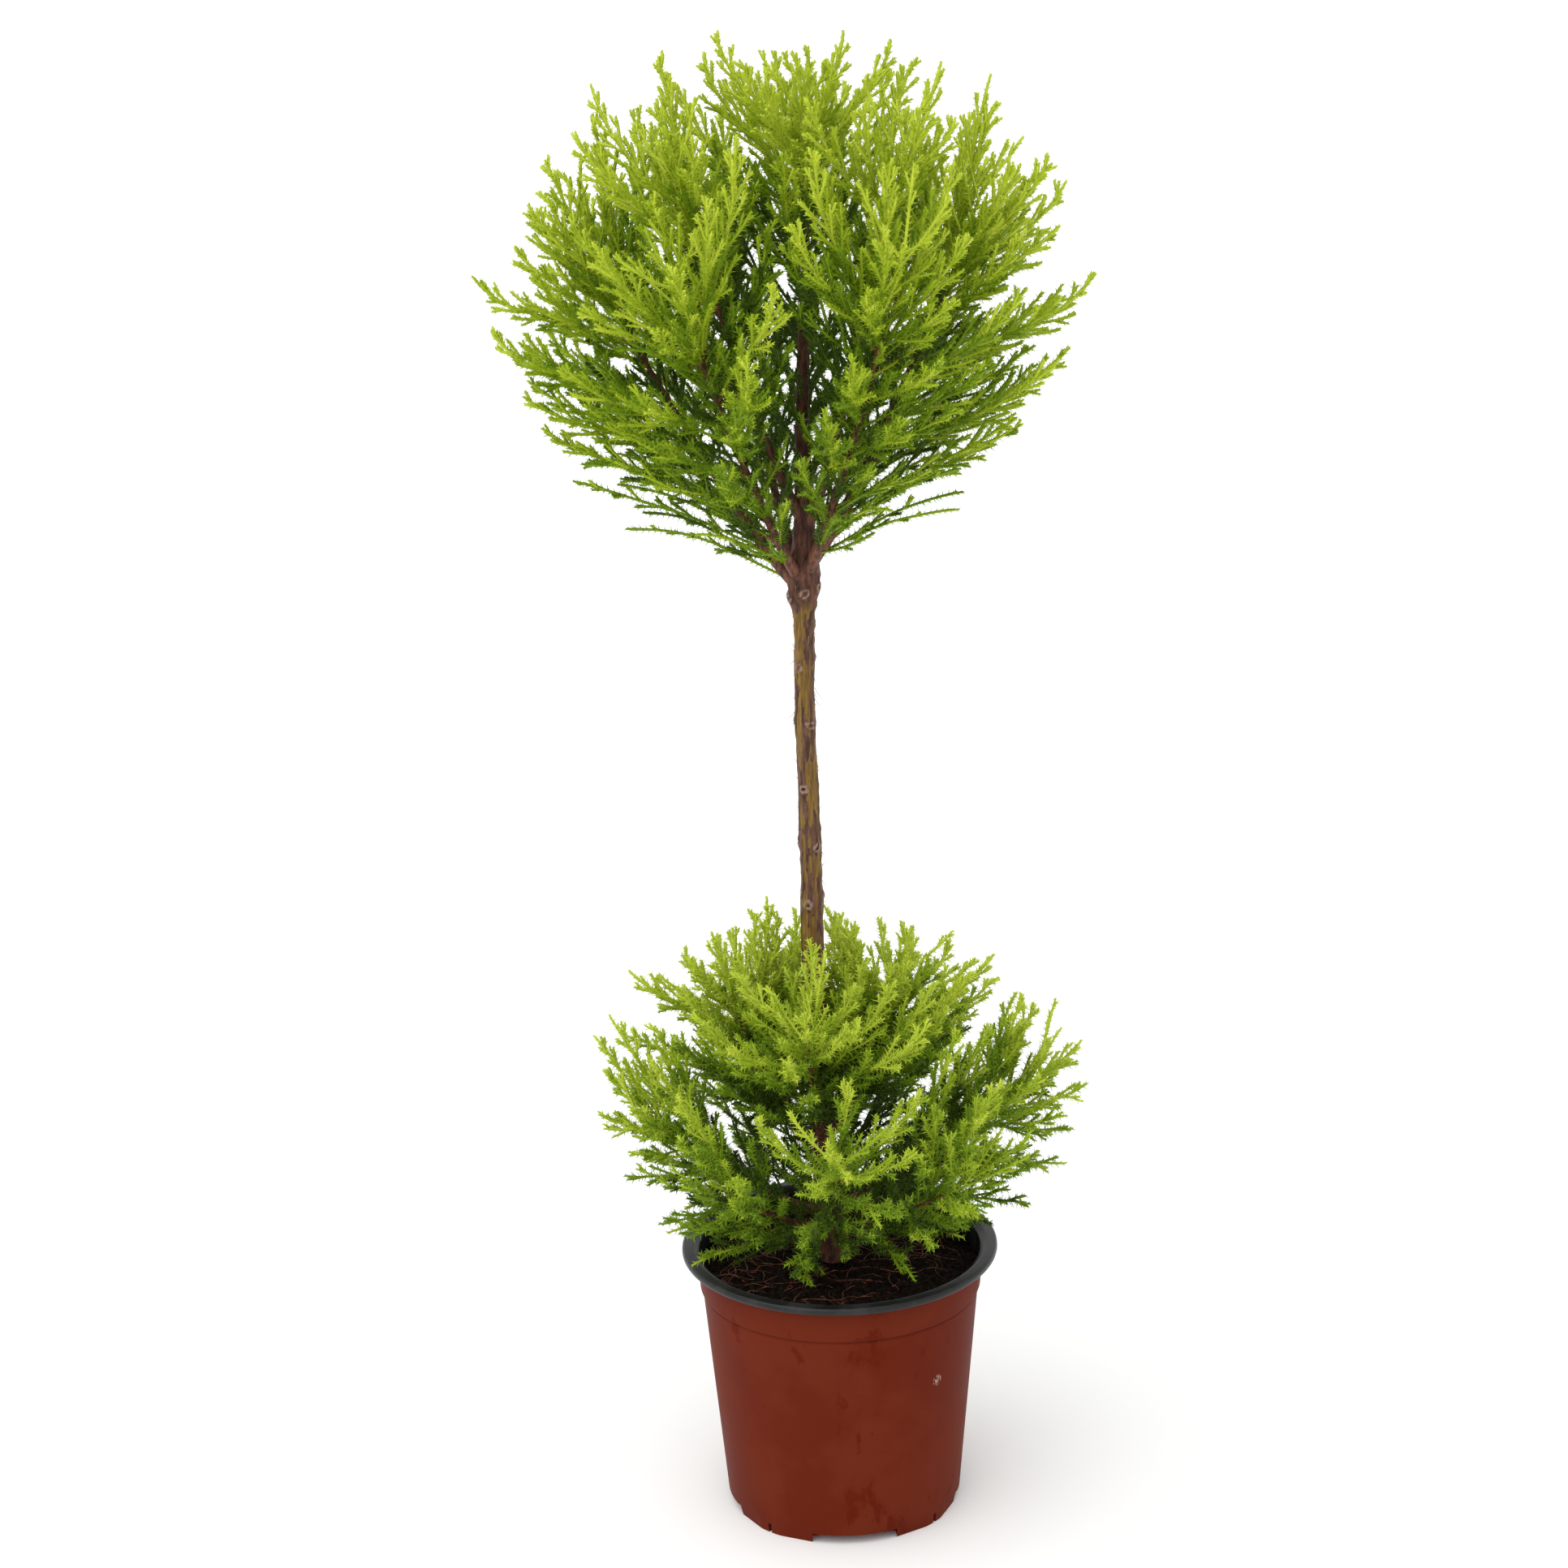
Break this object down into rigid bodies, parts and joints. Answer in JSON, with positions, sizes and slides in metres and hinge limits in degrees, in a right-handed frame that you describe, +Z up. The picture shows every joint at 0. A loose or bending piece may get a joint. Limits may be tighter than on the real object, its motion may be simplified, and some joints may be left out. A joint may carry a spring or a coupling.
{
  "type": "potted lemon cypress",
  "caption": "Evergreen conifer trained as a slim standard, with a loose round crown and a smaller ball of foliage round its foot, in a tapered round nursery pot of compost.",
  "frame": {"origin": "centre of the pot's flat foot, on the ground", "axes": "+Z up along the pot's axis, -Y towards the side that the picture shows, +X to the right in it"},
  "size_m": [0.3532, 0.3552, 0.8907],
  "materials": {
    "pot_plastic": "satin thermoformed sheet, terracotta brown outside, black inside and on the rim",
    "compost": "damp, crumbly and near black, with reddish rootlets",
    "bark": "thin matt olive-brown bark with darker torn strips and knots",
    "foliage": "matt scale needles, yellow-green at the tips and dark green inside"
  },
  "bodies": {
    "root": {"pot": "pot_plastic", "soil": "compost", "trunk": "bark", "crown_bough_1": "bark", "crown_bough_2": "bark", "crown_bough_3": "bark", "crown_bough_4": "bark", "crown_bough_5": "bark", "crown_bough_6": "bark", "crown_bough_7": "bark", "crown_bough_8": "bark", "crown_bough_9": "bark", "ball_bough_1": "bark", "ball_bough_2": "bark", "ball_bough_3": "bark", "ball_bough_4": "bark", "ball_bough_5": "bark", "ball_bough_6": "bark", "ball_bough_7": "bark", "ball_bough_8": "bark", "ball_bough_9": "bark", "crown_mass_1": "foliage", "crown_mass_2": "foliage", "crown_mass_3": "foliage", "crown_mass_4": "foliage", "crown_mass_5": "foliage", "crown_mass_6": "foliage", "crown_mass_7": "foliage", "crown_mass_8": "foliage", "crown_mass_9": "foliage", "crown_top_mass": "foliage", "ball_mass_1": "foliage", "ball_mass_2": "foliage", "ball_mass_3": "foliage", "ball_mass_4": "foliage", "ball_mass_5": "foliage", "ball_mass_6": "foliage", "ball_mass_7": "foliage", "ball_mass_8": "foliage", "ball_mass_9": "foliage"}
  },
  "joints": []
}
